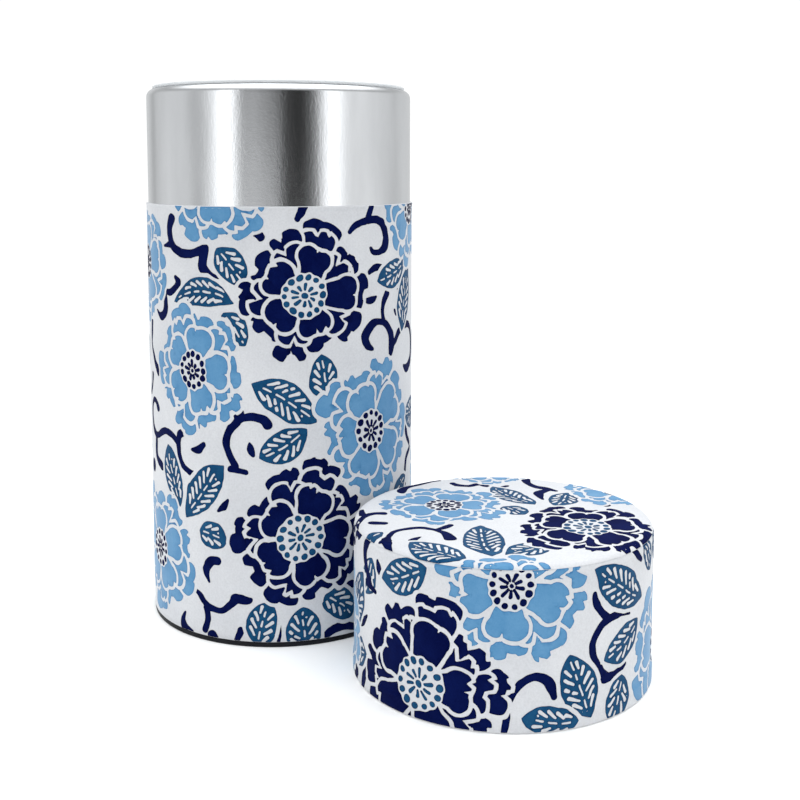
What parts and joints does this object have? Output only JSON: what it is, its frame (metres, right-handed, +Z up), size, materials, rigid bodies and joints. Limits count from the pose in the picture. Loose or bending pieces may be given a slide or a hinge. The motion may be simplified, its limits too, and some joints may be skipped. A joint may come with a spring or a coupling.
{
  "type": "spice tin",
  "caption": "Tall round tinplate caddy wrapped in printed floral paper, with a press-fit plastic inner lid and a slip-over papered lid standing beside it.",
  "frame": {"origin": "centre of the tin's base, on the surface it stands on", "axes": "+Z up along the tin's axis; the front of the view looks along +Y, with the outer lid at +X and -Y"},
  "size_m": [0.1377, 0.124, 0.151],
  "materials": {
    "tinplate": "satin tinplate",
    "base_rim": "dark lacquer",
    "washi": "fibrous printed paper",
    "white_plastic": "translucent white polyethylene"
  },
  "bodies": {
    "tin": {"base_plate": "base_rim", "body_shell": "tinplate", "neck_sleeve": "tinplate", "body_paper": "washi"},
    "inner_lid_body": {"inner_lid": "white_plastic"},
    "outer_lid": {"lid_shell": "tinplate", "lid_top_plate": "tinplate", "lid_side_paper": "washi", "lid_top_paper": "washi"}
  },
  "joints": [
    {"name": "inner_lid_lift", "type": "slide", "parent": "tin", "child": "inner_lid_body", "axis": [0, 0, 1], "range_m": [0, 0.03]},
    {"name": "outer_lid_lift", "type": "slide", "parent": "tin", "child": "outer_lid", "axis": [0, 0, 1], "range_m": [0, 0.16]}
  ]
}
